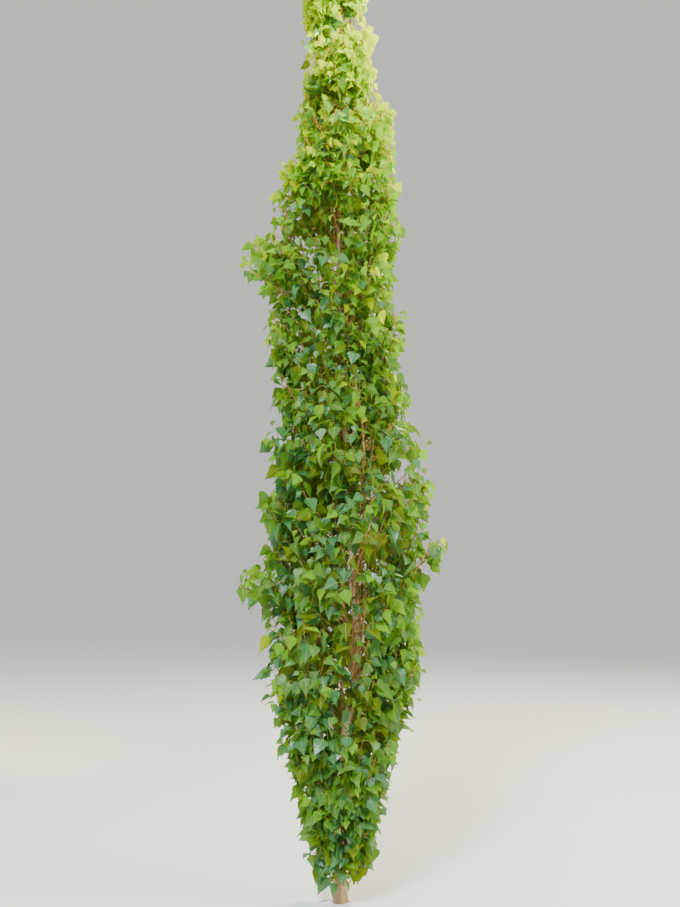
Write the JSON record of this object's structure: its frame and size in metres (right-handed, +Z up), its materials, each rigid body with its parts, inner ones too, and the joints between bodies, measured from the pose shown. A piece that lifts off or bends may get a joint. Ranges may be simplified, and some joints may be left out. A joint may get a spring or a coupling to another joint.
{
  "type": "columnar birch",
  "caption": "Young columnar birch in full leaf: one slender trunk inside a narrow spindle of steep boughs and hanging leaves.",
  "frame": {"origin": "centre of the flat cut under the trunk, at ground level", "axes": "+Z up the trunk, -Y towards the picture's viewer, +X to that viewer's right"},
  "size_m": [0.7317, 0.6158, 3.58],
  "materials": {
    "trunk_bark": "matte peeling bark",
    "bough_bark": "smooth bark",
    "leaves": "satin leaf"
  },
  "bodies": {
    "root": {"trunk": "trunk_bark", "bough_03": "bough_bark", "bough_04": "bough_bark", "bough_05": "bough_bark", "bough_06": "bough_bark", "bough_07": "bough_bark", "bough_08": "bough_bark", "bough_09": "bough_bark", "bough_10": "bough_bark", "bough_11": "bough_bark", "bough_12": "bough_bark", "bough_13": "bough_bark", "bough_14": "bough_bark", "bough_15": "bough_bark", "bough_16": "bough_bark", "bough_17": "bough_bark", "bough_18": "bough_bark", "bough_19": "bough_bark", "bough_20": "bough_bark", "bough_21": "bough_bark", "bough_22": "bough_bark", "foliage_01": "leaves", "foliage_02": "leaves", "foliage_03": "leaves", "foliage_04": "leaves", "foliage_05": "leaves", "foliage_06": "leaves", "foliage_07": "leaves", "foliage_08": "leaves", "foliage_09": "leaves", "foliage_10": "leaves", "foliage_11": "leaves", "foliage_12": "leaves", "foliage_13": "leaves", "foliage_14": "leaves", "foliage_15": "leaves", "foliage_16": "leaves", "foliage_17": "leaves", "foliage_18": "leaves", "foliage_19": "leaves", "foliage_20": "leaves", "foliage_21": "leaves", "foliage_22": "leaves", "foliage_23": "leaves", "foliage_24": "leaves", "foliage_25": "leaves", "foliage_26": "leaves"}
  },
  "joints": []
}
